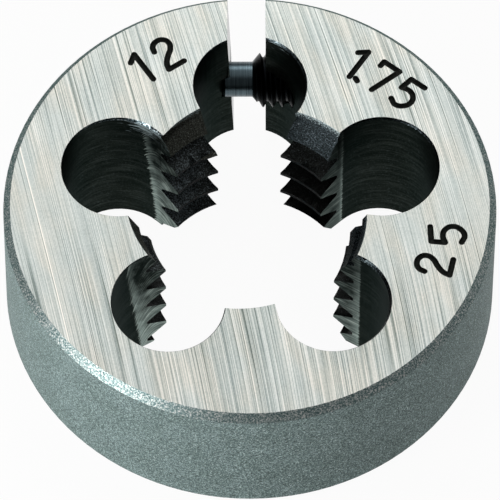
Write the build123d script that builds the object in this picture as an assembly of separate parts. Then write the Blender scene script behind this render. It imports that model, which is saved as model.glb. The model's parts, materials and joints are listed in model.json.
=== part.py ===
from build123d import *
from math import asin, ceil, cos, radians, sin, sqrt, tan
import os

# A split round threading die, standing on its plain face with the marked face up.
# The origin is the centre of the plain face and +Z is the thread's axis.
# The split points along +Y. All sizes are in millimetres.

# Ring
body_diameter = 25.0
body_thickness = 9.0
top_chamfer_width = 0.35
top_chamfer_height = 0.45
bottom_chamfer_width = 0.55
bottom_chamfer_height = 0.75

# Cutting thread, right-hand, 12 mm nominal
thread_nominal = 12.0
thread_pitch = 1.75
thread_flank_half_angle = 30.0
thread_root_clearance = 0.067
thread_crest_flat = thread_pitch / 8
thread_root_flat = thread_pitch / 8
# Depth below the marked face of one crest, and the angle round the axis where it lies there
crest_depth = 3.1
crest_angle = 71.0

# Lead-in at each end of the thread
top_lead_radius = 6.12
top_lead_depth = 2.75
# Each land's lead-in is cut off centre, so that its edge at the clockwise side stands clear
top_lead_relief = 0.6
bottom_lead_radius = 5.7
bottom_lead_depth = 1.1

# Flutes, evenly spaced, the first one at the split
flute_count = 5
flute_radius = 2.87
flute_centre_radius = 7.05
flute_start_angle = 90.0

# Split through the ring at the first flute, a little wider at the marked face
split_width_top = 1.97
split_width_bottom = 1.66
split_centre_top = -0.13
split_centre_bottom = 0.05

# Adjusting screw across the split, its axis along X
screw_outer_radius = 1.45
screw_nose_radius = 0.91
screw_nose_length = 1.42
screw_point_chamfer = 0.12
screw_shoulder_chamfer = 0.4
screw_end_chamfer = 0.25
screw_slot_width = 0.5
screw_slot_depth = 0.8
# The axis lies this far inside the middle of the wall between the first flute and the rim
screw_axis_set_in = 1.06
# The slotted end stands this far inside the rim, where the rim comes nearest to it
screw_end_inset = 0.2
screw_radial_clearance = 0.05
nose_radial_clearance = 0.08
nose_end_clearance = 0.05
nose_seat_depth = 0.45

# Cutters run past the faces that they open by this much
overrun = 1.0

# Values worked out from the sizes above
body_radius = body_diameter / 2
land_pitch_angle = 360 / flute_count
flute_angles = [flute_start_angle + i * land_pitch_angle for i in range(flute_count)]
flank_slope = tan(radians(thread_flank_half_angle))
flank_depth = (thread_pitch - thread_crest_flat - thread_root_flat) / 2 / flank_slope
thread_root_radius = thread_nominal / 2 + thread_root_clearance
thread_crest_radius = thread_root_radius - flank_depth
split_left_at_screw = (
    split_centre_top - split_width_top / 2 + split_centre_bottom - split_width_bottom / 2
) / 2
nose_seat_x = split_left_at_screw - nose_seat_depth
screw_tip_x = nose_seat_x + nose_end_clearance
screw_axis_height = body_thickness / 2
screw_axis_y = (flute_centre_radius + flute_radius + body_radius) / 2 - screw_axis_set_in
screw_end_x = sqrt(body_radius**2 - (screw_axis_y + screw_outer_radius) ** 2) - screw_end_inset
screw_length = screw_end_x - screw_tip_x
screw_bore_radius = screw_outer_radius + screw_radial_clearance
nose_bore_radius = screw_nose_radius + nose_radial_clearance


def ring():
    """The plain disc with its two rim chamfers, its seam opposite the split."""
    inner = body_radius - top_chamfer_width
    lower = body_radius - bottom_chamfer_width
    with BuildPart() as part:
        with BuildSketch(Plane.XZ):
            with BuildLine():
                Polyline(
                    (0, 0),
                    (lower, 0),
                    (body_radius, bottom_chamfer_height),
                    (body_radius, body_thickness - top_chamfer_height),
                    (inner, body_thickness),
                    (0, body_thickness),
                    close=True,
                )
            make_face()
        revolve(axis=Axis.Z)
    return Rot(0, 0, flute_start_angle + 180) * part.part


def thread_groove():
    """The helical groove between the thread's crests, as one swept solid."""
    # The groove reaches a little inside the crests, by less than its turns would need to meet
    inside = thread_crest_flat / 4 / flank_slope
    half_at_root = thread_root_flat / 2
    half_inside = half_at_root + (flank_depth + inside) * flank_slope
    turns = ceil(body_thickness / thread_pitch) + 2
    # A crest lies half a pitch above the groove's middle, and the helix starts at angle zero
    crest_height = body_thickness - crest_depth - crest_angle / 360 * thread_pitch
    start = crest_height - thread_pitch / 2
    start -= ceil((start + thread_pitch) / thread_pitch) * thread_pitch
    path = Helix(thread_pitch, turns * thread_pitch, thread_root_radius, center=(0, 0, start))
    inner = thread_root_radius - flank_depth - inside
    section = Polyline(
        (inner, 0, start - half_inside),
        (thread_root_radius, 0, start - half_at_root),
        (thread_root_radius, 0, start + half_at_root),
        (inner, 0, start + half_inside),
        close=True,
    )
    return sweep(make_face(section), path=path, is_frenet=True)


def land_sector(angle):
    """A wedge round one land, whose sides lie in the flutes at its two sides."""
    reach = body_diameter
    half = land_pitch_angle / 2
    corners = [(0, 0)]
    corners += [
        (reach * cos(radians(angle + turn)), reach * sin(radians(angle + turn)))
        for turn in (-half, 0, half)
    ]
    wedge = extrude(make_face(Polyline(*corners, close=True)), body_thickness + 2 * overrun)
    return Pos(0, 0, -overrun) * wedge


def top_lead(angle):
    """The tapered lead-in of one land, turned about an axis beside the die's own."""
    slope = (top_lead_radius - thread_crest_radius) / top_lead_depth
    # The cone ends low enough to lie wholly inside the crests there
    low_radius = thread_crest_radius - 2 * top_lead_relief
    low = body_thickness - (top_lead_radius - low_radius) / slope
    high = body_thickness + overrun
    height = high - low
    high_radius = low_radius + height * slope
    cone = Cone(low_radius, high_radius, height, align=(Align.CENTER, Align.CENTER, Align.MIN))
    shift = radians(angle - 90)
    centre = Pos(top_lead_relief * cos(shift), top_lead_relief * sin(shift), low)
    return (centre * cone) & land_sector(angle)


def bottom_lead():
    """The short plain lead-in at the plain face."""
    slope = (bottom_lead_radius - thread_crest_radius) / bottom_lead_depth
    height = bottom_lead_depth + 2 * overrun
    cone = Cone(
        bottom_lead_radius + overrun * slope,
        bottom_lead_radius + (overrun - height) * slope,
        height,
        align=(Align.CENTER, Align.CENTER, Align.MIN),
    )
    return Pos(0, 0, -overrun) * cone


def flute(angle, ground):
    """One chip flute. A ground flute has flat cutting faces that run straight to the axis."""
    height = body_thickness + 2 * overrun
    cutter = Pos(flute_centre_radius, 0, 0) * Cylinder(
        flute_radius, height, align=(Align.CENTER, Align.CENTER, Align.MIN)
    )
    if ground:
        half = asin(flute_radius / flute_centre_radius)
        reach = sqrt(flute_centre_radius**2 - flute_radius**2)
        wedge = Polyline(
            (0, 0),
            (reach * cos(half), -reach * sin(half)),
            (reach * cos(half), reach * sin(half)),
            close=True,
        )
        cutter += extrude(make_face(wedge), height)
    return Pos(0, 0, -overrun) * Rot(0, 0, angle) * cutter


def split():
    """The cut through the ring from the first flute outwards."""
    high = body_thickness + overrun
    run = (split_centre_top - split_centre_bottom) / body_thickness
    spread = (split_width_top - split_width_bottom) / body_thickness

    def side(height, sign):
        centre = split_centre_bottom + run * height
        return centre + sign * (split_width_bottom + spread * height) / 2

    section = Plane.XZ * Polyline(
        (side(-overrun, -1), -overrun),
        (side(-overrun, 1), -overrun),
        (side(high, 1), high),
        (side(high, -1), high),
        close=True,
    )
    cut = extrude(make_face(section), -(body_radius + overrun - flute_centre_radius))
    return Pos(0, flute_centre_radius, 0) * cut


def screw_hole():
    """The screw's hole in from the rim, and the smaller seat for its nose past the split."""
    reach = body_radius + overrun
    place = Pos(0, screw_axis_y, screw_axis_height) * Rot(0, 90, 0)
    align = (Align.CENTER, Align.CENTER, Align.MIN)
    hole = Cylinder(screw_bore_radius, reach, align=align)
    seat = Pos(0, 0, nose_seat_x) * Cylinder(nose_bore_radius, reach, align=align)
    return place * (hole + seat)


def die_body():
    """The hardened ring with its thread, lands, flutes, split and screw hole."""
    # The groove is cut while the disc is still solid, and the core inside its crests after it
    body = ring() - thread_groove()
    body -= Pos(0, 0, -overrun) * Cylinder(
        thread_crest_radius,
        body_thickness + 2 * overrun,
        align=(Align.CENTER, Align.CENTER, Align.MIN),
    )
    body -= bottom_lead()
    for flute_angle in flute_angles:
        body -= top_lead(flute_angle + land_pitch_angle / 2)
    for flute_angle in flute_angles:
        body -= flute(flute_angle, flute_angle != flute_start_angle)
    body -= split()
    body -= screw_hole()
    return body


def adjusting_screw():
    """The headless screw: a plain nose, a threaded shank and a screwdriver slot."""
    with BuildPart() as part:
        with BuildSketch(Plane.XZ):
            with BuildLine():
                Polyline(
                    (0, 0),
                    (screw_nose_radius - screw_point_chamfer, 0),
                    (screw_nose_radius, screw_point_chamfer),
                    (screw_nose_radius, screw_nose_length),
                    (screw_outer_radius, screw_nose_length + screw_shoulder_chamfer),
                    (screw_outer_radius, screw_length - screw_end_chamfer),
                    (screw_outer_radius - screw_end_chamfer, screw_length),
                    (0, screw_length),
                    close=True,
                )
            make_face()
        revolve(axis=Axis.Z)
    slot = Pos(0, 0, screw_length) * Box(
        screw_slot_width, 4 * screw_outer_radius, 2 * screw_slot_depth
    )
    screw = part.part - slot
    return Pos(screw_tip_x, screw_axis_y, screw_axis_height) * Rot(0, 90, 0) * screw


os.makedirs("parts", exist_ok=True)
export_step(die_body(), "parts/die_body.step")
export_step(adjusting_screw(), "parts/adjusting_screw.step")
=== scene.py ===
import bpy
import json
from math import atan2, cos, degrees, hypot, pi, radians, sin, tan
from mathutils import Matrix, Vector

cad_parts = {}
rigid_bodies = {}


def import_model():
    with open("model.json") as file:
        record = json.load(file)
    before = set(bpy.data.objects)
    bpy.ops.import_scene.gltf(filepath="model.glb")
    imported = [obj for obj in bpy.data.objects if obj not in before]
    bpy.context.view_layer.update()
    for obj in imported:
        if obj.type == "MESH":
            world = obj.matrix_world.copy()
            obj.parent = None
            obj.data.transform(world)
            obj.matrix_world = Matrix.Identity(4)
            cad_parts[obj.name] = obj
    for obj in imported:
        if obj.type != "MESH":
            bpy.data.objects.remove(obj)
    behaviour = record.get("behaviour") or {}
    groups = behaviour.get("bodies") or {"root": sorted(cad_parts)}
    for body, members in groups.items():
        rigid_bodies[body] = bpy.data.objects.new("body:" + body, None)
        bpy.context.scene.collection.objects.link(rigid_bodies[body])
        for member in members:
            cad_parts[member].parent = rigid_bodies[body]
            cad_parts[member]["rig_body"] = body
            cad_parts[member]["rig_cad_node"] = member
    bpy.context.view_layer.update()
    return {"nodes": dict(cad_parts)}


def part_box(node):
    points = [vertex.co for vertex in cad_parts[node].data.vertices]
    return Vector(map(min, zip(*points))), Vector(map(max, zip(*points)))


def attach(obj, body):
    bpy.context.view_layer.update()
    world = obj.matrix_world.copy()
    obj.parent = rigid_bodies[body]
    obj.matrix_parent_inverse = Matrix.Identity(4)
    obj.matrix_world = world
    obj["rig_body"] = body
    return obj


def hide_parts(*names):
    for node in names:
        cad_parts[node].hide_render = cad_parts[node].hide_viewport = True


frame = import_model()
mm = 0.001


# Camera, where the photograph was taken from: a long lens from above the front
camera = {
    "place": (-1.79, -225.733, 390.834),  # mm
    "turn": (30.290, -0.123, -0.248),      # degrees
    "lens": 630.6,
}
bpy.ops.object.camera_add(
    location=[v * mm for v in camera["place"]], rotation=[radians(v) for v in camera["turn"]]
)
cameraObject = bpy.context.object
cameraObject.data.lens = camera["lens"]
cameraObject.data.clip_start = 0.01
bpy.context.scene.camera = cameraObject
bpy.context.scene.view_settings.view_transform = "Standard"
print("camera placed")


# Colours are written as sRGB hex and turned linear here
def linear(hexColour):
    channels = [int(hexColour[i:i + 2], 16) / 255 for i in (1, 3, 5)]
    return [c / 12.92 if c <= 0.04045 else ((c + 0.055) / 1.055) ** 2.4 for c in channels] + [1]


# Sets a node's inputs, by name or number, to values, sockets or other nodes
def setInputs(tree, node, inputs):
    for name, value in inputs.items():
        if isinstance(value, bpy.types.Node):
            value = next(socket for socket in value.outputs if socket.enabled)
        if isinstance(value, bpy.types.NodeSocket):
            tree.links.new(value, node.inputs[name])
        else:
            node.inputs[name].default_value = value


# Adds a node with its inputs. Stops are a ramp's colours, and what is left are the node's settings.
def addNode(tree, kind, inputs=None, stops=(), **settings):
    node = tree.nodes.new("ShaderNode" + kind)
    for name, value in settings.items():
        setattr(node, name, value)
    setInputs(tree, node, inputs or {})
    for number, (position, hexColour) in enumerate(stops):
        elements = node.color_ramp.elements
        element = elements[number] if number < 2 else elements.new(position)
        element.position = position
        element.color = linear(hexColour)
    return node


# Starts a material and sets its shader's plain values
def newMaterial(name, values):
    material = bpy.data.materials.new(name)
    material.use_nodes = True
    tree = material.node_tree
    shader = tree.nodes["Principled BSDF"]
    setInputs(tree, shader, values)
    position = addNode(tree, "TexCoord").outputs["Object"]
    return material, tree, shader, position


# Surface-ground tool steel: bright, with the long fine lines that a cup wheel leaves
def surfaceGroundSteel():
    material, tree, shader, position = newMaterial("surfaceGroundToolSteel", {"Metallic": 1.0})
    look = {
        "lean": 0.231,         # sideways run of the lines for each mm along them
        "curve": 1 / 164,      # and how it grows, the wheel's arc being wide
        "width": 25,           # mm from left to right, over which the curve comes in
        "line": 0.05,          # mm across a grinding line, drawn just wide enough to show
        "lineRun": 20,         # mm along it
        "band": 0.55,          # mm across a brighter or darker band
        "bandRun": 16,
        "hue": 1.6,            # mm across a warmer or cooler band
        "hueRun": 4,
        "score": 0.07,         # mm across one of the sparse scratches
        "scoreRun": 14,
        "cloud": 2.6,          # mm across a cloudy patch
        "grit": 0.08,          # mm across the speckle in between
        "scratchAt": -10.90,   # mm, one long bright scratch near the left edge
        "scratchWidth": 0.05,  # mm from its middle to where it has faded out
        "scratchCore": 0.02,
        "ridge": 0.003,        # mm high
    }
    axes = addNode(tree, "SeparateXYZ", {0: position})
    x = addNode(tree, "Math", {0: axes.outputs[0], 1: mm}, operation="DIVIDE")
    y = addNode(tree, "Math", {0: axes.outputs[1], 1: mm}, operation="DIVIDE")
    growth = addNode(tree, "Math", {0: x, 1: 1 / look["width"], 2: 0.5}, operation="MULTIPLY_ADD")
    curve = addNode(tree, "Math", {0: y, 1: look["curve"]}, operation="MULTIPLY")
    slope = addNode(tree, "Math", {0: curve, 1: growth, 2: look["lean"]}, operation="MULTIPLY_ADD")
    across = addNode(tree, "Math", {0: y, 1: slope, 2: x}, operation="MULTIPLY_ADD")
    lined = addNode(tree, "CombineXYZ", {0: across, 1: y})
    streaks = []
    for kind, detail in (("line", 1.0), ("band", 2.0), ("hue", 2.0), ("score", 0.0)):
        streakAt = addNode(tree, "Mapping", {
            "Vector": lined, "Scale": (1 / look[kind], 1 / look[kind + "Run"], 1)})
        streaks.append(addNode(tree, "TexNoise", {"Vector": streakAt, "Scale": 1.0, "Detail": detail}))
    fine, band, hue, score = streaks
    cloud = addNode(tree, "TexNoise", {"Vector": position, "Scale": 1 / (look["cloud"] * mm)})
    grit = addNode(tree, "TexNoise", {"Vector": position, "Scale": 1 / (look["grit"] * mm)})
    shares = ((fine, 0.95), (band, 0.15), (cloud, 0.12), (grit, 0.22))
    tone = -0.5 * (sum(share for source, share in shares) - 1)
    for source, share in shares:
        tone = addNode(tree, "Math", {0: source, 1: share, 2: tone}, operation="MULTIPLY_ADD")
    colour = addNode(tree, "ValToRGB", {0: tone}, [
        (0.26, "#8d9694"), (0.40, "#b2b8b5"), (0.50, "#c8ccc8"), (0.60, "#d9dad6"), (0.74, "#efeeea"),
    ])
    tint = addNode(tree, "ValToRGB", {0: hue}, [
        (0.38, "#f4f8f8"), (0.50, "#f9faf8"), (0.62, "#fdfaf5"),
    ])
    tinted = addNode(
        tree, "Mix", {0: 1.0, 6: colour, 7: tint}, data_type="RGBA", blend_type="MULTIPLY")
    # Sparse single scratches, dark ones and bright ones
    scored = addNode(tree, "ValToRGB", {0: score}, [(0.24, "#9aa4a1"), (0.33, "#ffffff")])
    worn = addNode(tree, "Mix", {0: 0.9, 6: tinted, 7: scored}, data_type="RGBA", blend_type="MULTIPLY")
    shine = addNode(tree, "ValToRGB", {0: score}, [(0.70, "#000000"), (0.80, "#4a4842")])
    shiny = addNode(tree, "Mix", {0: 1.0, 6: worn, 7: shine}, data_type="RGBA", blend_type="ADD")
    offset = addNode(tree, "Math", {0: across, 1: look["scratchAt"]}, operation="SUBTRACT")
    near = addNode(tree, "Math", {0: offset}, operation="ABSOLUTE")
    scratch = addNode(tree, "MapRange", {
        0: near, 1: look["scratchWidth"], 2: look["scratchCore"], 4: 0.8})
    scratched = addNode(tree, "Mix", {0: scratch, 6: shiny, 7: linear("#fdf8ef")}, data_type="RGBA")
    rough = addNode(tree, "MapRange", {0: fine, 1: 0.3, 2: 0.7, 3: 0.30, 4: 0.42})
    ridges = addNode(tree, "Bump", {"Height": fine, "Distance": look["ridge"] * mm})
    setInputs(tree, shader, {"Base Color": scratched, "Roughness": rough, "Normal": ridges})
    return material


# Tool steel rim, turned and then blasted after hardening: dull blue-green grey with tiny glints
def blastedRim():
    material, tree, shader, position = newMaterial("blastedHardenedSteel", {
        "Specular Tint": linear("#b4c2bf"), "Specular IOR Level": 0.4})
    look = {"grain": 0.09, "glint": 0.075, "patch": 1.8, "pit": 0.012}  # mm
    grain = addNode(tree, "TexNoise", {
        "Vector": position, "Scale": 1 / (look["grain"] * mm), "Detail": 3.0, "Roughness": 0.7})
    patch = addNode(tree, "TexNoise", {"Vector": position, "Scale": 1 / (look["patch"] * mm)})
    colour = addNode(tree, "ValToRGB", {0: grain}, [
        (0.34, "#3a4342"), (0.50, "#677a79"), (0.66, "#a3b5b4"),
    ])
    cloud = addNode(tree, "ValToRGB", {0: patch}, [(0.35, "#eceeec"), (0.65, "#ffffff")])
    base = addNode(tree, "Mix", {0: 1.0, 6: colour, 7: cloud}, data_type="RGBA", blend_type="MULTIPLY")
    speck = addNode(tree, "TexNoise", {
        "Vector": position, "Scale": 1 / (look["glint"] * mm), "Detail": 0.0})
    glint = addNode(tree, "MapRange", {0: speck, 1: 0.70, 2: 0.75})
    bright = addNode(tree, "Mix", {0: glint, 6: base, 7: linear("#b9c8c7")}, data_type="RGBA")
    metal = addNode(tree, "MapRange", {0: glint, 3: 0.25})
    rough = addNode(tree, "MapRange", {0: glint, 3: 0.55, 4: 0.35})
    pits = addNode(tree, "Bump", {"Height": grain, "Distance": look["pit"] * mm, "Strength": 0.8})
    setInputs(tree, shader, {
        "Base Color": bright, "Metallic": metal, "Roughness": rough, "Normal": pits})
    return material


# Rough-turned chamfer under heat-treatment scale: dark, and it glitters where light strikes it
def scaledChamfer():
    material, tree, shader, position = newMaterial("scaledTurnedChamfer", {
        "Metallic": 1.0, "Roughness": 0.5, "Specular Tint": linear("#84918e")})
    look = {"grain": 0.085, "pit": 0.022}  # mm
    grain = addNode(tree, "TexNoise", {
        "Vector": position, "Scale": 1 / (look["grain"] * mm), "Roughness": 0.7})
    colour = addNode(tree, "ValToRGB", {0: grain}, [
        (0.30, "#3c4f4e"), (0.44, "#657979"), (0.56, "#95a09e"), (0.67, "#d0cfcc"),
    ])
    pits = addNode(tree, "Bump", {"Height": grain, "Distance": look["pit"] * mm})
    setInputs(tree, shader, {"Base Color": colour, "Normal": pits})
    return material


# Flute edge that a hand-held countersink has broken: torn silver-blue lines round the hole
def deburredEdge():
    material, tree, shader, position = newMaterial("deburredFluteEdge", {
        "Metallic": 1.0, "Roughness": 0.33})
    look = {
        "line": 0.07,          # mm across one torn line
        "lineRun": 10 / 9,     # mm along it
        "grain": 0.12,
        "tear": 0.03,          # mm deep
        "tornTo": -3,          # mm along X, up to which the edge is torn
        "rubbedFrom": -2,      # and from which it is only rubbed
        "darkFrom": 3,         # mm along X, where it starts to darken, and where it is darkest
        "darkFull": 5,
    }
    lineRound = 1 / (look["lineRun"] * mm)
    lineAt = addNode(tree, "Mapping", {
        "Vector": position, "Scale": (lineRound, lineRound, 1 / (look["line"] * mm))})
    line = addNode(tree, "TexNoise", {
        "Vector": lineAt, "Scale": 1.0, "Detail": 3.0, "Roughness": 0.7})
    grain = addNode(tree, "TexNoise", {"Vector": position, "Scale": 1 / (look["grain"] * mm)})
    tone = addNode(tree, "Math", {0: line, 1: grain}, operation="ADD")
    half = addNode(tree, "Math", {0: tone, 1: 0.5}, operation="MULTIPLY")
    torn = addNode(tree, "ValToRGB", {0: half}, [
        (0.38, "#14181a"), (0.50, "#455155"), (0.62, "#b2c0c4"),
    ])
    rubbed = addNode(tree, "ValToRGB", {0: half}, [
        (0.38, "#181c1d"), (0.50, "#343c3f"), (0.62, "#707c80"),
    ])
    axes = addNode(tree, "SeparateXYZ", {0: position})
    left = addNode(tree, "MapRange", {
        0: axes.outputs[0], 1: look["rubbedFrom"] * mm, 2: look["tornTo"] * mm})
    # Painted shade: the edges of the right flutes are darkened against their reflection of the back
    # softbox
    right = addNode(tree, "MapRange", {
        0: axes.outputs[0], 1: look["darkFrom"] * mm, 2: look["darkFull"] * mm, 3: 1.0, 4: 0.35})
    darker = addNode(
        tree, "Mix", {0: 1.0, 6: rubbed, 7: right}, data_type="RGBA", blend_type="MULTIPLY")
    colour = addNode(tree, "Mix", {0: left, 6: darker, 7: torn}, data_type="RGBA")
    tears = addNode(tree, "Bump", {"Height": half, "Distance": look["tear"] * mm})
    setInputs(tree, shader, {"Base Color": colour, "Normal": tears})
    return material


# Drilled flute under black heat-treatment scale, with its cutting faces scraped bare afterwards
def blackFlute(name, bare):
    # The tint keeps the scale dull where it is seen along the wall
    material, tree, shader, position = newMaterial(name, {
        "Roughness": 0.4, "Specular Tint": linear("#b4b8b8")})
    look = {
        "ring": 0.15,          # mm between the drill's rings
        "ringRun": 1.8,        # mm that one ring mark runs round the hole
        "grain": 0.09,
        # the wall's normal that faces the key softbox, where the painted highlight goes
        "highlightFacing": (-0.643, -0.766, 0),
        "rubbedFrom": 7.0,     # mm up, where the rubbing and its painted highlight start and where they are full
        "rubbedAndLitFull": 8.9,
        "highlightLeft": -3.5,    # mm along X, where all of it shows and where the least of it does
        "highlightRight": 4,
        "rub": 0.16,           # mm between the rubbed rings
        "rubRun": 1.2,
        "tangent": 6.44,       # mm from the axis to where the flat face meets the drilled wall
        "overcut": 0.75,       # mm that the scraping runs past it at the top, on the left side
        "riseFrom": 0.5,       # mm up, where it starts to and where it does so in full
        "riseFull": 8,
        "side": 1,             # mm each side of the middle, from the left look to the right
        "jag": 0.9,            # mm that its border wanders with the marks
        "rib": 0.12,           # mm across one scraping mark
        "ribRun": 2.2,
        "bend": 0.9,           # how much steeper the marks get for each mm inwards
        "steepBack": -0.3,     # how steep they are on the back flutes and on the front ones
        "steepFront": -2.1,
        "back": 2,             # mm along Y, from the back flutes' look to the front ones'
        "front": -3,
        "smudge": 0.6,         # mm across a patch of returned scale
        "bareAndLitTo": 1,          # mm up, where the steel is barest, with the most painted floor reflection, and where it is most veiled
        "veiledFrom": 7.5,
        "clear": 0.85,         # share of bare steel at those two
        "veiled": 0.12,
        "borderMore": 0.46,    # and how much more there is along the border
        "rightBorder": 0.75,   # what is left of it on the right: at the border, back and front
        "rightBack": 0.33,
        "rightFront": 0.64,
        "relief": 0.010,       # mm
    }
    axes = addNode(tree, "SeparateXYZ", {0: position})
    ringRound = 1 / (look["ringRun"] * mm)
    ringAt = addNode(tree, "Mapping", {
        "Vector": position, "Scale": (ringRound, ringRound, 1 / (look["ring"] * mm))})
    rings = addNode(tree, "TexNoise", {
        "Vector": ringAt, "Scale": 1.0, "Detail": 3.0, "Roughness": 0.65})
    grain = addNode(tree, "TexNoise", {
        "Vector": position, "Scale": 1 / (look["grain"] * mm), "Roughness": 0.7})
    black = addNode(tree, "ValToRGB", {0: rings}, [
        (0.30, "#151714"), (0.50, "#1f221f"), (0.70, "#303431"),
    ])
    speck = addNode(tree, "ValToRGB", {0: grain}, [(0.54, "#000000"), (0.74, "#2e3434")])
    scaled = addNode(tree, "Mix", {0: 1.0, 6: black, 7: speck}, data_type="RGBA", blend_type="ADD")
    # Chips have rubbed rings into the wall's upper edge on its far side, and a highlight is painted on
    # them where the wall faces the key softbox
    faces = addNode(tree, "TexCoord").outputs["Normal"]
    facing = addNode(tree, "VectorMath", {0: faces, 1: look["highlightFacing"]}, operation="DOT_PRODUCT")
    side = addNode(tree, "MapRange", {0: facing.outputs["Value"], 1: 0.55, 2: 0.95})
    height = addNode(tree, "MapRange", {
        0: axes.outputs[2], 1: look["rubbedFrom"] * mm, 2: look["rubbedAndLitFull"] * mm})
    fewer = addNode(tree, "MapRange", {
        0: axes.outputs[0], 1: look["highlightLeft"] * mm, 2: look["highlightRight"] * mm, 3: 1.0, 4: 0.35})
    some = addNode(tree, "Math", {0: side, 1: height}, operation="MULTIPLY")
    highlightReach = addNode(tree, "Math", {0: some, 1: fewer}, operation="MULTIPLY")
    rubRound = 1 / (look["rubRun"] * mm)
    rubAt = addNode(tree, "Mapping", {
        "Vector": position, "Scale": (rubRound, rubRound, 1 / (look["rub"] * mm))})
    rub = addNode(tree, "TexNoise", {"Vector": rubAt, "Scale": 1.0, "Detail": 3.0, "Roughness": 0.7})
    # Painted highlight: bright streaks over the rubbed rings, on the top of walls that face the key
    # softbox
    streak = addNode(tree, "Math", {0: highlightReach, 1: 0.36, 2: rub}, operation="MULTIPLY_ADD")
    rubAndHighlight = addNode(tree, "MapRange", {0: streak, 1: 0.78, 2: 0.90})
    walls = addNode(tree, "Mix", {0: rubAndHighlight, 6: scaled, 7: linear("#c9dde2")}, data_type="RGBA")
    marks = rings
    if bare:
        plan = addNode(tree, "CombineXYZ", {0: axes.outputs[0], 1: axes.outputs[1]})
        radius = addNode(tree, "VectorMath", {0: plan}, operation="LENGTH").outputs["Value"]
        left = addNode(tree, "MapRange", {
            0: axes.outputs[0], 1: look["side"] * mm, 2: -look["side"] * mm})
        # Scraping marks cross the face in short arcs, steeper on the front flutes
        inwards = addNode(
            tree, "Math", {0: radius, 1: -1 / mm, 2: look["tangent"]}, operation="MULTIPLY_ADD")
        steep = addNode(tree, "MapRange", {
            0: axes.outputs[1], 1: look["back"] * mm, 2: look["front"] * mm,
            3: look["steepBack"], 4: look["steepFront"]})
        bend = addNode(
            tree, "Math", {0: inwards, 1: look["bend"], 2: steep}, operation="MULTIPLY_ADD")
        leftBend = addNode(tree, "Math", {0: bend, 1: left}, operation="MULTIPLY")
        up = addNode(tree, "Math", {0: axes.outputs[2], 1: mm}, operation="DIVIDE")
        ribAcross = addNode(tree, "Math", {0: inwards, 1: leftBend, 2: up}, operation="MULTIPLY_ADD")
        ribAt = addNode(tree, "CombineXYZ", {
            0: addNode(tree, "Math", {0: ribAcross, 1: look["rib"]}, operation="DIVIDE"),
            1: addNode(tree, "Math", {0: inwards, 1: look["ribRun"]}, operation="DIVIDE"),
        })
        ribs = addNode(tree, "TexNoise", {
            "Vector": ribAt, "Scale": 1.0, "Detail": 3.0, "Roughness": 0.6})
        # The scraping runs past the flat face, more so higher up on the left, to a jagged border
        rise = addNode(tree, "MapRange", {
            0: axes.outputs[2], 1: look["riseFrom"] * mm, 2: look["riseFull"] * mm, 3: 0.05})
        wild = addNode(tree, "MapRange", {0: left, 3: 0.5 * look["jag"], 4: look["jag"]})
        jag = addNode(tree, "Math", {0: ribs, 1: 0.5}, operation="SUBTRACT")
        jagged = addNode(tree, "Math", {0: jag, 1: wild, 2: inwards}, operation="MULTIPLY_ADD")
        overcut = addNode(tree, "Math", {0: rise, 1: left}, operation="MULTIPLY")
        depth = addNode(
            tree, "Math", {0: overcut, 1: look["overcut"], 2: jagged}, operation="MULTIPLY_ADD")
        mask = addNode(tree, "MapRange", {0: depth, 1: -0.02, 2: 0.04})
        steel = addNode(tree, "ValToRGB", {0: ribs}, [
            (0.32, "#5a6763"), (0.50, "#8a9893"), (0.66, "#bac6be"),
        ])
        # The scale has come back towards the marked face and the tips, and the marks show through. Low
        # down the bare steel is painted brighter, as a painted reflection of the floor.
        low = addNode(tree, "MapRange", {
            0: axes.outputs[2], 1: look["bareAndLitTo"] * mm, 2: look["veiledFrom"] * mm,
            3: look["clear"], 4: look["veiled"]})
        border = addNode(tree, "MapRange", {0: depth, 1: 0.06, 2: 0.5, 3: look["borderMore"], 4: 0.0})
        smudge = addNode(tree, "TexNoise", {
            "Vector": position, "Scale": 1 / (look["smudge"] * mm), "Detail": 3.0})
        smudged = addNode(tree, "Math", {0: smudge, 1: 1.5, 2: -0.82}, operation="MULTIPLY_ADD")
        thick = addNode(tree, "Math", {0: low, 1: border}, operation="ADD")
        thin = addNode(tree, "Math", {0: thick, 1: smudged}, operation="ADD")
        streaked = addNode(tree, "Math", {0: jag, 1: 1.6, 2: thin}, operation="MULTIPLY_ADD")
        # On the right side it is thinnest along the border and on the front flute
        front = addNode(tree, "MapRange", {
            0: axes.outputs[1], 1: look["back"] * mm, 2: look["front"] * mm,
            3: look["rightBack"], 4: look["rightFront"]})
        line = addNode(tree, "MapRange", {
            0: depth, 1: 0.04, 2: 0.2, 3: look["rightBorder"], 4: front})
        most = addNode(tree, "MapRange", {0: left, 3: line})
        bright = addNode(tree, "Math", {0: streaked, 1: most}, operation="MULTIPLY", use_clamp=True)
        dulled = addNode(tree, "Mix", {0: bright, 6: walls, 7: steel}, data_type="RGBA")
        walls = addNode(tree, "Mix", {0: mask, 6: walls, 7: dulled}, data_type="RGBA")
        marks = addNode(tree, "Mix", {0: mask, 2: rings, 3: ribs}, data_type="FLOAT")
    metal = addNode(tree, "MapRange", {0: rubAndHighlight, 3: 1.0, 4: 0.75})
    relief = addNode(tree, "Bump", {"Height": marks, "Distance": look["relief"] * mm})
    setInputs(tree, shader, {"Metallic": metal, "Base Color": walls, "Normal": relief})
    return material


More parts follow.
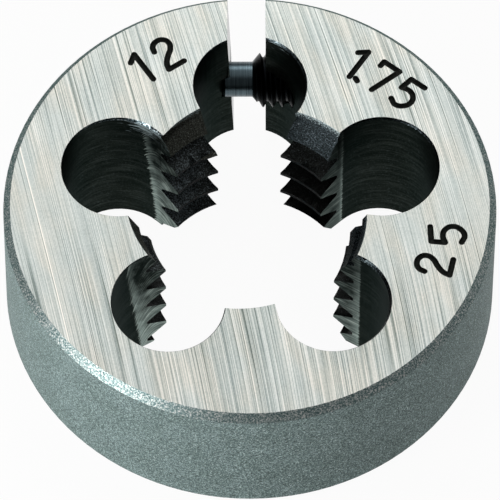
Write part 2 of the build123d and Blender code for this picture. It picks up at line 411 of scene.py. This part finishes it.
# Lead-in cone under thick scale: near black with fine sparkling grains
def scaledLead():
    material, tree, shader, position = newMaterial("scaledLeadIn", {
        "Metallic": 0.9, "Roughness": 0.42, "Specular Tint": linear("#7f8482")})
    look = {
        "grain": 0.075,        # mm
        "pit": 0.022,
        "side": 1,             # mm each side of the middle, from the left tone to the right
        "edgeFrom": 9.32,      # mm up, the grain's noise added to it, where the bright edge starts
        "edgeFull": 9.5,
    }
    grain = addNode(tree, "TexNoise", {
        "Vector": position, "Scale": 1 / (look["grain"] * mm), "Roughness": 0.75})
    dark = addNode(tree, "ValToRGB", {0: grain}, [
        (0.36, "#1e2223"), (0.54, "#384043"), (0.68, "#626d74"), (0.76, "#bcc6ca"),
    ])
    light = addNode(tree, "ValToRGB", {0: grain}, [
        (0.36, "#3a3c37"), (0.54, "#5d5f58"), (0.66, "#868a84"), (0.74, "#d8dedc"),
    ])
    axes = addNode(tree, "SeparateXYZ", {0: position})
    right = addNode(tree, "MapRange", {
        0: axes.outputs[0], 1: -look["side"] * mm, 2: look["side"] * mm})
    veiled = addNode(tree, "Mix", {0: right, 6: light, 7: dark}, data_type="RGBA")
    # Rods and chips have rubbed it bright along the very edge
    grainedUp = addNode(
        tree, "Math", {0: axes.outputs[2], 1: 1 / mm, 2: grain}, operation="MULTIPLY_ADD")
    edge = addNode(tree, "MapRange", {0: grainedUp, 1: look["edgeFrom"], 2: look["edgeFull"]})
    colour = addNode(tree, "Mix", {0: edge, 6: veiled, 7: linear("#9dabad")}, data_type="RGBA")
    pits = addNode(tree, "Bump", {"Height": grain, "Distance": look["pit"] * mm})
    setInputs(tree, shader, {"Base Color": colour, "Normal": pits})
    return material


# Thread flanks, tapped and then blackened in the furnace
def blackThread():
    material, tree, shader, position = newMaterial("blackenedThread", {
        "Metallic": 0.5, "Roughness": 0.5, "Specular IOR Level": 0.2})
    look = {
        "grain": 0.075,        # mm
        "pit": 0.015,
        "low": 5.2,            # mm up, to which the lower turns' tone holds
        "high": 7,             # and from which the top turn's does
        "tones": (-0.09, 0.08),     # what is added to the grain low down and high up
        "paintedLeftLightTones": (0.28, 0.02),  # and what painted light is added on the left, low down and high up
        "leftFrom": -1,        # mm along X, where the left starts and where it is full
        "leftFull": -3,
        "rearFull": 2,         # mm along Y, where it is full at the back
        "frontShare": 0.3,     # share of it that is left at the front
    }
    grain = addNode(tree, "TexNoise", {
        "Vector": position, "Scale": 1 / (look["grain"] * mm), "Roughness": 0.75})
    # Lighter near the marked face and darker down the hole; on the left at the back, painted light
    # lifts the deep flanks that lie in dim shade
    axes = addNode(tree, "SeparateXYZ", {0: position})
    fade, paintedLeftLight = [
        addNode(tree, "MapRange", {
            0: axes.outputs[2], 1: look["low"] * mm, 2: look["high"] * mm, 3: lowTone, 4: highTone})
        for lowTone, highTone in (look["tones"], look["paintedLeftLightTones"])
    ]
    left = addNode(tree, "MapRange", {
        0: axes.outputs[0], 1: look["leftFrom"] * mm, 2: look["leftFull"] * mm, 4: paintedLeftLight})
    rear = addNode(tree, "MapRange", {
        0: axes.outputs[1], 1: 0, 2: look["rearFull"] * mm, 3: look["frontShare"]})
    thin = addNode(tree, "Math", {0: left, 1: rear, 2: fade}, operation="MULTIPLY_ADD")
    tone = addNode(tree, "Math", {0: grain, 1: thin}, operation="ADD")
    colour = addNode(tree, "ValToRGB", {0: tone}, [
        (0.42, "#111210"), (0.64, "#353a39"), (0.80, "#8a969b"),
    ])
    pits = addNode(tree, "Bump", {"Height": grain, "Distance": look["pit"] * mm})
    setInputs(tree, shader, {"Base Color": colour, "Normal": pits})
    return material


# Crests of the teeth, where handling has rubbed the black thin
def wornCrest():
    material, tree, shader, position = newMaterial("rubbedThreadCrest", {
        "Metallic": 0.8, "Roughness": 0.45, "Specular Tint": linear("#8f9494")})
    look = {"patch": 0.22}  # mm
    patch = addNode(tree, "TexNoise", {"Vector": position, "Scale": 1 / (look["patch"] * mm)})
    colour = addNode(tree, "ValToRGB", {0: patch}, [(0.38, "#0a0b0b"), (0.66, "#262c2e")])
    setInputs(tree, shader, {"Base Color": colour})
    return material


# The split's walls, cut by a thin wheel and blackened
def sawnSplit():
    material, tree, shader, position = newMaterial("sawnBlackenedSplit", {"Roughness": 0.15})
    look = {
        "mark": 0.12,          # mm between the wheel's marks
        "markRun": 1.25,       # mm that one runs downwards
        "wall": 2,             # mm across the split, so that its two walls differ
        "relief": 0.004,
    }
    markSizes = (look["wall"], look["mark"], look["markRun"])
    markAt = addNode(tree, "Mapping", {
        "Vector": position, "Scale": [1 / (size * mm) for size in markSizes]})
    marks = addNode(tree, "TexNoise", {
        "Vector": markAt, "Scale": 1.0, "Detail": 3.0, "Roughness": 0.7})
    colour = addNode(tree, "ValToRGB", {0: marks}, [(0.35, "#08090a"), (0.65, "#171b1d")])
    relief = addNode(tree, "Bump", {"Height": marks, "Distance": look["relief"] * mm})
    setInputs(tree, shader, {"Base Color": colour, "Normal": relief})
    return material


# Engraved strokes, filled black
def engravedBlack():
    material, tree, shader, position = newMaterial("blackFilledEngraving", {
        "Roughness": 0.55, "Specular IOR Level": 0.2})
    look = {"grain": 0.15}  # mm
    grain = addNode(tree, "TexNoise", {"Vector": position, "Scale": 1 / (look["grain"] * mm)})
    colour = addNode(tree, "ValToRGB", {0: grain}, [(0.35, "#0e100d"), (0.70, "#232722")])
    setInputs(tree, shader, {"Base Color": colour})
    return material


# Black-oxide screw steel, turned and lightly oiled
def blackOxide():
    material, tree, shader, position = newMaterial("blackOxideSteel", {"Metallic": 1.0})
    look = {
        "turning": 0.06,       # mm between turning marks, along the screw
        "turningRun": 2.5,     # mm that one runs round it
        "noseEnd": 0.15,       # mm along X, where the bright nose ends
        "noseFade": 0.25,
        "endFace": 4.25,       # mm along X, where the slotted end is turned bright again
        "endFade": 0.05,
        "relief": 0.004,
    }
    markRound = 1 / (look["turningRun"] * mm)
    markAt = addNode(tree, "Mapping", {
        "Vector": position, "Scale": (1 / (look["turning"] * mm), markRound, markRound)})
    marks = addNode(tree, "TexNoise", {"Vector": markAt, "Scale": 1.0, "Roughness": 0.6})
    nose = addNode(tree, "ValToRGB", {0: marks}, [(0.30, "#333e43"), (0.70, "#5b6a70")])
    shank = addNode(tree, "ValToRGB", {0: marks}, [(0.30, "#0b0d0e"), (0.70, "#1b1f21")])
    along = addNode(tree, "SeparateXYZ", {0: position})
    onShank = addNode(tree, "MapRange", {
        0: along.outputs[0], 1: look["noseEnd"] * mm, 2: (look["noseEnd"] + look["noseFade"]) * mm})
    turned = addNode(tree, "Mix", {0: onShank, 6: nose, 7: shank}, data_type="RGBA")
    onEnd = addNode(tree, "MapRange", {
        0: along.outputs[0], 1: look["endFace"] * mm, 2: (look["endFace"] + look["endFade"]) * mm})
    colour = addNode(tree, "Mix", {0: onEnd, 6: turned, 7: nose}, data_type="RGBA")
    rough = addNode(tree, "MapRange", {0: onShank, 3: 0.30, 4: 0.4})
    relief = addNode(tree, "Bump", {"Height": marks, "Distance": look["relief"] * mm})
    setInputs(tree, shader, {"Base Color": colour, "Roughness": rough, "Normal": relief})
    return material


finishes = {
    "ground": surfaceGroundSteel(),
    "rim": blastedRim(),
    "chamfer": scaledChamfer(),
    "edge": deburredEdge(),
    "groundFlute": blackFlute("blackFluteScrapedFaces", True),
    "plainFlute": blackFlute("blackFlutePlain", False),
    "hole": blackFlute("blackScrewHole", False),
    "lead": scaledLead(),
    "thread": blackThread(),
    "crest": wornCrest(),
    "split": sawnSplit(),
}
engraved = engravedBlack()
oxide = blackOxide()
print("materials made")


# Makes an object the only one that is selected, and the active one
def only(piece):
    bpy.ops.object.select_all(action="DESELECT")
    piece.select_set(True)
    bpy.context.view_layer.objects.active = piece


# Puts an object's place and turn into its mesh
def settle(piece):
    only(piece)
    bpy.ops.object.transform_apply(location=True, rotation=True, scale=True)


# Cuts a piece with another object, or joins the two, and takes the cutter away
def cut(piece, cutter, operation="DIFFERENCE", overlapping=False):
    only(piece)
    modifier = piece.modifiers.new("cut", "BOOLEAN")
    modifier.operation = operation
    modifier.object = cutter
    modifier.solver = "EXACT"
    modifier.use_self = overlapping
    modifier.material_mode = "TRANSFER"
    bpy.ops.object.modifier_apply(modifier=modifier.name)
    bpy.data.objects.remove(cutter)


# Turns a bar from stations (distance along X, radius), as on a lathe
def turnBar(name, stations, y, z, segments):
    start, radius = stations[0]
    bpy.ops.mesh.primitive_circle_add(
        vertices=segments, radius=radius * mm, fill_type="NGON",
        location=(start * mm, y * mm, z * mm), rotation=(0, pi / 2, 0),
    )
    bar = bpy.context.object
    bar.name = name
    settle(bar)
    bpy.ops.object.mode_set(mode="EDIT")
    bpy.ops.mesh.select_all(action="SELECT")
    for (fromX, fromRadius), (toX, toRadius) in zip(stations, stations[1:]):
        bpy.ops.mesh.extrude_region_move(TRANSFORM_OT_translate={"value": ((toX - fromX) * mm, 0, 0)})
        scale = toRadius / fromRadius
        centre = (toX * mm, y * mm, z * mm)
        bpy.ops.transform.resize(value=(1, scale, scale), center_override=centre)
    bpy.ops.mesh.select_all(action="SELECT")
    bpy.ops.mesh.normals_make_consistent(inside=False)
    bpy.ops.object.mode_set(mode="OBJECT")
    return bar


# A helical ridge about an axis along X, right-hand. Its cross-section is given as (radius,
# half width) at the inside and at the outside, and one turn's middle lies at firstX on the +Y side.
def helicalRidge(section, firstX, turns, pitch, y, z):
    (innerRadius, innerHalf), (outerRadius, outerHalf) = section
    bpy.ops.mesh.primitive_plane_add(size=1, rotation=(pi / 2, 0, 0))
    ridge = bpy.context.object
    ridge.scale = ((outerRadius - innerRadius) * mm, 2 * innerHalf * mm, 1)
    ridge.location = ((innerRadius + outerRadius) / 2 * mm, 0, 0)
    settle(ridge)
    bpy.ops.object.mode_set(mode="EDIT")
    bpy.ops.mesh.select_mode(type="VERT")
    bpy.ops.mesh.select_all(action="SELECT")
    bpy.ops.mesh.delete(type="ONLY_FACE")
    bpy.ops.object.mode_set(mode="OBJECT")
    for vertex in ridge.data.vertices:
        vertex.select = vertex.co.x > (innerRadius + outerRadius) / 2 * mm
    bpy.ops.object.mode_set(mode="EDIT")
    bpy.ops.transform.resize(value=(1, 1, outerHalf / innerHalf), center_override=(0, 0, 0))
    bpy.ops.object.mode_set(mode="OBJECT")
    winding = ridge.modifiers.new("winding", "SCREW")
    winding.axis = "Z"
    winding.angle = 2 * pi
    winding.screw_offset = pitch * mm
    winding.iterations = turns
    winding.steps = winding.render_steps = 48
    winding.use_smooth_shade = False
    bpy.ops.object.modifier_apply(modifier=winding.name)
    bpy.ops.object.mode_set(mode="EDIT")
    bpy.ops.mesh.select_all(action="DESELECT")
    bpy.ops.mesh.select_non_manifold()
    bpy.ops.mesh.edge_face_add()
    bpy.ops.mesh.select_all(action="SELECT")
    bpy.ops.mesh.quads_convert_to_tris()
    bpy.ops.mesh.normals_make_consistent(inside=False)
    bpy.ops.object.mode_set(mode="OBJECT")
    # It stands along Z and starts on +X: turned so, it runs along X and starts on +Y
    ridge.rotation_euler = (pi / 2, 0, pi / 2)
    ridge.location = (firstX * mm, y * mm, z * mm)
    settle(ridge)
    return ridge


# A cylinder or cone along Z, for cutting: radius at the bottom and at the top
def roundCutter(place, low, high, bottomRadius, topRadius, segments=128):
    bpy.ops.mesh.primitive_cone_add(
        vertices=segments, radius1=bottomRadius * mm, radius2=topRadius * mm, depth=(high - low) * mm,
        location=(place[0] * mm, place[1] * mm, (low + high) / 2 * mm),
    )
    cutter = bpy.context.object
    settle(cutter)
    return cutter


# How far a cutter runs past what it cuts, in mm
past = 1.0

# The ring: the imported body's own form, merged, deburred, engraved and finished face by face
body = {
    "weld": 0.0001,         # points nearer than this become one
    "sliver": 0.001,        # edges shorter than this are dissolved
    "radius": 12.5,
    "height": 9.0,
    "fluteRadius": 2.87,
    "fluteCentre": 7.05,
    # angle of each flute: mean width of its broken edge, and how far off centre its cutter stood
    "flutes": {
        90: (0.055, 0.045, 0.03),
        162: (0.055, 0.045, 0.03),
        234: (0.04, 0.02, 0.01),
        306: (0.07, 0.055, 0.04),
        18: (0.05, 0.03, 0.03),
    },
    "flare": 0.78,          # how much the broken edge widens for each mm up
    "countersinkLow": 0.6,  # how far its cutter starts below the marked face, and ends above it
    "countersinkHigh": 0.2,
    "leadRadius": 6.12,     # of each land's lead-in cone at the marked face
    "leadSlope": 0.433,     # how much narrower it gets for each mm down
    "leadRelief": 0.6,      # how far its axis lies beside the ring's
}
# Half the angle between two flutes, where a land has its middle
landTurn = 180 / len(body["flutes"])
source = frame["nodes"]["die_body"]
dieBody = source.copy()
dieBody.data = source.data.copy()
dieBody.name = "dieBody"
dieBody.parent = None
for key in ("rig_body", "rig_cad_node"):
    del dieBody[key]
bpy.context.scene.collection.objects.link(dieBody)
only(dieBody)
bpy.ops.object.mode_set(mode="EDIT")
bpy.ops.mesh.select_all(action="SELECT")
bpy.ops.mesh.remove_doubles(threshold=body["weld"] * mm)
bpy.ops.object.mode_set(mode="OBJECT")


def fluteCentreAt(angle):
    return Vector((cos(radians(angle)), sin(radians(angle)), 0)) * body["fluteCentre"]


# A countersink run round each flute's upper edge breaks the burr, wider where it was held over
for angle, (width, offX, offY) in body["flutes"].items():
    top = body["fluteRadius"] + width
    low = body["countersinkLow"]
    high = body["countersinkHigh"]
    countersink = roundCutter(
        fluteCentreAt(angle) + Vector((offX, offY, 0)), body["height"] - low, body["height"] + high,
        top - low * body["flare"], top + high * body["flare"],
    )
    countersink.data.materials.append(finishes["edge"])
    cut(dieBody, countersink)
print("flute edges broken", len(dieBody.data.polygons))

# The thread that was tapped in the screw's hole, from the split out to the rim
lowCorner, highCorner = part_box("adjusting_screw")
screw = {
    "tip": lowCorner.x / mm,
    "y": (lowCorner.y + highCorner.y) / 2 / mm,
    "z": (lowCorner.z + highCorner.z) / 2 / mm,
    "length": (highCorner.x - lowCorner.x) / mm,
    "noseLength": 1.53,
    "noseRadius": 0.91,
    "pointChamfer": 0.12,
    "shoulder": 0.45,      # length of the cone between nose and thread
    "endChamfer": 0.25,
    "outerRadius": 1.45,
    "rootRadius": 1.15,
    "pitch": 0.5,
    "crestAt": 0.443,      # x of one crest on the screw's +Y side
    "cutterOut": 0.035,    # how far the groove's cutter stands out of the shank
    "slotWidth": 0.5,
    "slotDepth": 0.8,
    "segments": 96,
}
flank = tan(radians(30))
tapped = {
    "crestRadius": 1.25,
    "crestHalf": 0.0785,
    "outerRadius": 1.53,   # a little inside the hole's wall, which carries the thread
    "start": 0.88,         # x of the split's wall
    "rimInset": 0.1,       # how far inside the rim the thread ends
    "turns": 17,
    "block": (4, 6, 6),    # what is cut off at the split
}
tappedDepth = tapped["outerRadius"] - tapped["crestRadius"]
holeThread = helicalRidge([
    (tapped["crestRadius"], tapped["crestHalf"]),
    (tapped["outerRadius"], tapped["crestHalf"] + tappedDepth * flank),
], screw["crestAt"] + screw["pitch"] / 2, tapped["turns"], screw["pitch"], screw["y"], screw["z"])
inFlute = roundCutter(
    fluteCentreAt(90), -past, body["height"] + past, body["fluteRadius"], body["fluteRadius"])
cut(holeThread, inFlute)
blockX = tapped["start"] - tapped["block"][0] / 2
bpy.ops.mesh.primitive_cube_add(
    size=1, location=(blockX * mm, screw["y"] * mm, screw["z"] * mm),
    scale=[side * mm for side in tapped["block"]],
)
inSplit = bpy.context.object
settle(inSplit)
cut(holeThread, inSplit)
threadEnd = body["radius"] - tapped["rimInset"]
inRim = roundCutter((0, 0), -past, body["height"] + past, threadEnd, threadEnd, 256)
cut(holeThread, inRim, "INTERSECT")
cut(dieBody, holeThread, "UNION")
# The cuts leave some edges of next to no length, which would shade wrongly
only(dieBody)
bpy.ops.object.mode_set(mode="EDIT")
bpy.ops.mesh.select_all(action="SELECT")
bpy.ops.mesh.dissolve_degenerate(threshold=body["sliver"] * mm)
bpy.ops.object.mode_set(mode="OBJECT")
print("screw hole tapped", len(dieBody.data.polygons))

# Plain size numbers, engraved with a round-nosed cutter. Each stroke is a run of points,
# in mm from the character's centre, x along the ring and y outwards.
numbers = {
    "width": 0.31,          # of a stroke, which is half as deep
    "endCap": 1.01,         # the ball at each end of a stroke, as a share of its width
    "strokes": {
        "1": [[(-0.40, 0.55), (0.03, 0.88)], [(0.03, 0.88), (0.03, -0.90)]],
        "2": [
            [(-0.56, 0.42), (-0.50, 0.74), (-0.24, 0.95), (0.12, 0.93), (0.34, 0.66), (0.28, 0.28),
             (-0.02, -0.08), (-0.26, -0.46), (-0.32, -0.84)],
            [(-0.32, -0.84), (0.60, -0.70)],
        ],
        "7": [
            [(-0.58, 0.30), (-0.60, 0.60)],
            [(-0.60, 0.60), (0.38, 0.68)],
            [(0.38, 0.68), (0.04, -1.08)],
        ],
        "5": [
            [(0.32, 0.84), (-0.52, 0.64)],
            [(-0.52, 0.64), (-0.46, -0.06)],
            [(-0.46, -0.06), (-0.10, 0.12), (0.30, 0.06), (0.54, -0.28), (0.44, -0.70), (0.12, -0.96),
             (-0.30, -0.88)],
        ],
        ".": [[(-0.08, 0.04), (0.08, -0.04)]],
    },
    # character, distance from the axis, angle round it, and which way is up: 1 outwards, -1 inwards
    "places": [
        ("1", 9.79, 123.6, 1), ("2", 9.82, 115.1, 1),
        ("1", 10.01, 56.0, 1), (".", 9.17, 53.4, 1), ("7", 10.28, 47.5, 1), ("5", 10.43, 39.0, 1),
        ("2", 10.05, -21.0, -1), ("5", 10.05, -10.5, -1),
    ],
}
strokeParts = []
strokeRadius = numbers["width"] / 2 * mm
for character, radius, angle, up in numbers["places"]:
    outwards = Vector((cos(radians(angle)), sin(radians(angle)), 0))
    along = Vector((outwards.y, -outwards.x, 0)) * up
    for stroke in numbers["strokes"][character]:
        points = [
            (outwards * (radius + y * up) + along * x + Vector((0, 0, body["height"]))) * mm
            for x, y in stroke
        ]
        line = bpy.data.curves.new("stroke", "CURVE")
        line.dimensions = "3D"
        line.bevel_depth = strokeRadius
        line.bevel_resolution = 2
        line.use_fill_caps = True
        line.resolution_u = 6
        spline = line.splines.new("BEZIER")
        spline.bezier_points.add(len(points) - 1)
        for knot, point in zip(spline.bezier_points, points):
            knot.co = point
            knot.handle_left_type = knot.handle_right_type = "AUTO"
        strokeObject = bpy.data.objects.new("stroke", line)
        bpy.context.scene.collection.objects.link(strokeObject)
        strokeParts.append(strokeObject)
        for end in (points[0], points[-1]):
            bpy.ops.mesh.primitive_uv_sphere_add(
                segments=12, ring_count=8, radius=strokeRadius * numbers["endCap"], location=end
            )
            strokeParts.append(bpy.context.object)
only(strokeParts[0])
for part in strokeParts:
    part.select_set(True)
bpy.ops.object.convert(target="MESH")
bpy.ops.object.join()
engraver = bpy.context.object
engraver.data.materials.append(engraved)
settle(engraver)
cut(dieBody, engraver, overlapping=True)
print("numbers engraved", len(dieBody.data.polygons))


# Where each finish ends, in mm, and which way its faces look, as parts of their normals
limits = {
    "faceOff": 0.001,       # a face's centre lies less than this off the marked or plain face
    "rimInside": 0.06,      # and this inside the rim's radius
    "chamferInside": 0.8,
    "chamferRise": 0.3,
    "chamferOff": 3,        # above and below the screw's axis
    "holeRadius": 1.56,
    "holeFrom": 8.5,        # along Y
    "splitHalf": 1.3,
    "splitFrom": 7.2,       # along Y
    "splitSideways": 0.98,
    "upright": 0.1,         # what rises or falls less than this
    "fluteOutside": 0.05,
    "fluteOff": 0.04,       # the corners of its drilled wall lie less than this off its radius
    "flatInwards": 0.5,     # its flat faces look less than this towards the axis
    "leadDepth": 1.3,
    "leadRise": (0.3, 0.6),
    "runoutDepth": 0.36,    # a groove shallower than this hardly shows in the lead-in
    "crestRadius": 5.3,
}


# The finish of one face of the ring, from where it lies and which way it looks, in mm
def finishOf(place, normal):
    radius = hypot(place.x, place.y)
    fromScrew = hypot(place.y - screw["y"], place.z - screw["z"])
    upright = abs(normal.z) < limits["upright"]
    if min(place.z, body["height"] - place.z) < limits["faceOff"]:
        return "ground"
    if radius > body["radius"] - limits["rimInside"] and upright:
        return "rim"
    slanted = abs(normal.z) > limits["chamferRise"]
    offScrew = abs(place.z - screw["z"]) > limits["chamferOff"]
    if radius > body["radius"] - limits["chamferInside"] and slanted and offScrew:
        return "chamfer"
    if fromScrew < limits["holeRadius"] and place.y > limits["holeFrom"]:
        return "hole"
    sideways = abs(normal.x) > limits["splitSideways"]
    if abs(place.x) < limits["splitHalf"] and place.y > limits["splitFrom"] and sideways:
        return "split"
    if upright:
        nearest = nearestFlute(place)
        across = (Vector((place.x, place.y, 0)) - fluteCentreAt(nearest)).length
        inwards = -(normal.x * place.x + normal.y * place.y) / radius
        if across < body["fluteRadius"] + limits["fluteOutside"]:
            return "plainFlute" if nearest == 90 else "groundFlute"
        if inwards < limits["flatInwards"]:
            return "groundFlute"
    leastRise, mostRise = limits["leadRise"]
    if place.z > body["height"] - limits["leadDepth"] or leastRise < normal.z < mostRise:
        return "lead"
    return "crest" if upright and radius < limits["crestRadius"] else "thread"


# The flute nearest to a place, or to a place turned clockwise by so many degrees
def nearestFlute(place, turned=0):
    angle = degrees(atan2(place.y, place.x)) - turned
    return min(body["flutes"], key=lambda flute: abs((angle - flute + 180) % 360 - 180))


order = list(finishes)
before = list(dieBody.data.materials)
marks = [before[face.material_index] for face in dieBody.data.polygons]
dieBody.data.materials.clear()
for name in order:
    dieBody.data.materials.append(finishes[name])
dieBody.data.materials.append(engraved)
for face, mark in zip(dieBody.data.polygons, marks):
    if mark == engraved:
        face.material_index = len(order)
    elif mark == finishes["edge"]:
        face.material_index = order.index("edge")
    else:
        face.material_index = order.index(finishOf(face.center / mm, face.normal))
only(dieBody)
bpy.ops.object.shade_smooth_by_angle(angle=radians(20))


# How deep a place in mm lies under its land's lead-in cone, and the cone's own normal there
def underLead(place):
    land = radians(nearestFlute(place, landTurn) + landTurn - 90)
    off = Vector((place.x, place.y, 0)) - Vector((cos(land), sin(land), 0)) * body["leadRelief"]
    depth = off.length - body["leadRadius"] + (body["height"] - place.z) * body["leadSlope"]
    return depth, (Vector((0, 0, body["leadSlope"])) - off.normalized()).normalized()


# The true normal at a corner of a flat or round face, so that its thin triangles don't show
def trueNormal(kind, face, corners, corner, shaded):
    if kind == "ground":
        return Vector((0, 0, 1 if corner.z > body["height"] / 2 * mm else -1))
    if kind in ("rim", "chamfer"):
        level = Vector((corner.x, corner.y, 0)).normalized()
        rise = 0 if kind == "rim" else face.normal.z
        return level * (1 - rise * rise) ** 0.5 + Vector((0, 0, rise))
    if kind in ("groundFlute", "plainFlute"):
        centre = fluteCentreAt(nearestFlute(face.center)) * mm
        offs = [centre - Vector((c.x, c.y, 0)) for c in corners]
        if all(abs(off.length / mm - body["fluteRadius"]) < limits["fluteOff"] for off in offs):
            return (centre - Vector((corner.x, corner.y, 0))).normalized()
        return face.normal.copy()
    if kind == "lead" and all(underLead(c / mm)[0] < limits["runoutDepth"] for c in corners):
        return underLead(corner / mm)[1]
    return face.normal.copy() if kind == "split" else shaded


mesh = dieBody.data
names = order + ["engraved"]
cornerNormals = [Vector(c.vector) for c in mesh.corner_normals]
for face in mesh.polygons:
    kind = names[face.material_index]
    corners = [mesh.vertices[v].co for v in face.vertices]
    for loop, corner in zip(face.loop_indices, corners):
        cornerNormals[loop] = trueNormal(kind, face, corners, corner, cornerNormals[loop])
mesh.normals_split_custom_set(cornerNormals)
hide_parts("die_body")
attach(dieBody, "die")
print("ring finished", len(dieBody.data.polygons))


# The adjusting screw, turned from stations along its axis, then threaded and slotted
noseEnd = screw["tip"] + screw["noseLength"]
tail = screw["tip"] + screw["length"]
adjustingScrew = turnBar("adjustingScrew", [
    (screw["tip"], screw["noseRadius"] - screw["pointChamfer"]),
    (screw["tip"] + screw["pointChamfer"], screw["noseRadius"]),
    (noseEnd, screw["noseRadius"]),
    (noseEnd + screw["shoulder"], screw["outerRadius"]),
    (tail - screw["endChamfer"], screw["outerRadius"]),
    (tail, screw["outerRadius"] - screw["endChamfer"]),
], screw["y"], screw["z"], screw["segments"])
bpy.ops.mesh.primitive_cube_add(
    size=1, location=(tail * mm, screw["y"] * mm, screw["z"] * mm),
    scale=(screw["slotDepth"] * 2 * mm, screw["outerRadius"] * 4 * mm, screw["slotWidth"] * mm),
)
slotCutter = bpy.context.object
settle(slotCutter)
cut(adjustingScrew, slotCutter)
# Its crests are an eighth of the pitch wide
grooveHalf = (screw["pitch"] - screw["pitch"] / 8) / 2
turnsCut = int((tail - noseEnd) / screw["pitch"]) + 3
grooveCutter = helicalRidge([
    (screw["rootRadius"], grooveHalf - (screw["outerRadius"] - screw["rootRadius"]) * flank),
    (screw["outerRadius"] + screw["cutterOut"], grooveHalf + screw["cutterOut"] * flank),
], screw["crestAt"] - screw["pitch"] / 2, turnsCut, screw["pitch"], screw["y"], screw["z"])
cut(adjustingScrew, grooveCutter)
adjustingScrew.data.materials.clear()
adjustingScrew.data.materials.append(oxide)
only(adjustingScrew)
bpy.ops.object.shade_smooth_by_angle(angle=radians(30))
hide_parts("adjusting_screw")
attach(adjustingScrew, "screw")
print("screw turned and threaded", len(adjustingScrew.data.polygons))


# Pale floor, and a soft light that is strongest from above and behind
studio = {
    "floorSize": 1.6,       # m
    "floorBelow": 0.00002,  # m under the plain face
    "floorGlow": 0.95,      # share of plain white in the floor as it is seen
    "brightTowards": (0, 0.5, 0.866),
    "dimFrom": 0.55,        # cosines of the angle to that, where the sky is dimmest and brightest
    "brightFrom": 0.95,
    "brightest": 0.86,
    "dimmest": 0.13,
}
bpy.ops.mesh.primitive_plane_add(size=studio["floorSize"], location=(0, 0, -studio["floorBelow"]))
floor = bpy.context.object
floor.name = "floor"
floorPaint, floorTree, floorShader, _ = newMaterial("whiteBoardMatt", {
    "Base Color": linear("#f2f2f0"), "Roughness": 0.9, "Specular IOR Level": 0.1})
rays = addNode(floorTree, "LightPath")
mirrored = addNode(floorTree, "Math", {
    0: rays.outputs["Is Glossy Ray"], 1: rays.outputs["Is Transmission Ray"]})
seen = addNode(floorTree, "Math", {0: rays.outputs["Is Camera Ray"], 1: mirrored}, use_clamp=True)
share = addNode(floorTree, "Math", {0: seen, 1: studio["floorGlow"]}, operation="MULTIPLY")
glow = addNode(floorTree, "Emission")
mixed = addNode(floorTree, "MixShader", {0: share, 1: floorShader, 2: glow})
setInputs(floorTree, floorTree.nodes["Material Output"], {"Surface": mixed})
floor.data.materials.append(floorPaint)

world = bpy.data.worlds.new("studio")
bpy.context.scene.world = world
world.use_nodes = True
worldTree = world.node_tree
direction = addNode(worldTree, "TexCoord").outputs["Generated"]
aim = addNode(
    worldTree, "VectorMath", {0: direction, 1: studio["brightTowards"]}, operation="DOT_PRODUCT")
strength = addNode(worldTree, "MapRange", {
    0: aim.outputs["Value"], 1: studio["dimFrom"], 2: studio["brightFrom"],
    3: studio["dimmest"], 4: studio["brightest"],
}, interpolation_type="SMOOTHSTEP")
setInputs(worldTree, worldTree.nodes["Background"], {"Color": (1, 1, 1, 1), "Strength": strength})

lamps = {
    # name: where it stands in mm, size in mm, watts
    "keySoftbox": ((-45, -40, 16), 17, 0.0245),
    "backSoftbox": ((0, 306, 257), 160, 0.24),
}
for name, (place, size, watts) in lamps.items():
    bpy.ops.object.light_add(type="AREA", location=[v * mm for v in place])
    lamp = bpy.context.object
    lamp.name = name
    lamp.data.size = size * mm
    lamp.data.energy = watts
    lamp.rotation_euler = (-Vector(place)).to_track_quat("-Z", "Y").to_euler()
print("studio lit")
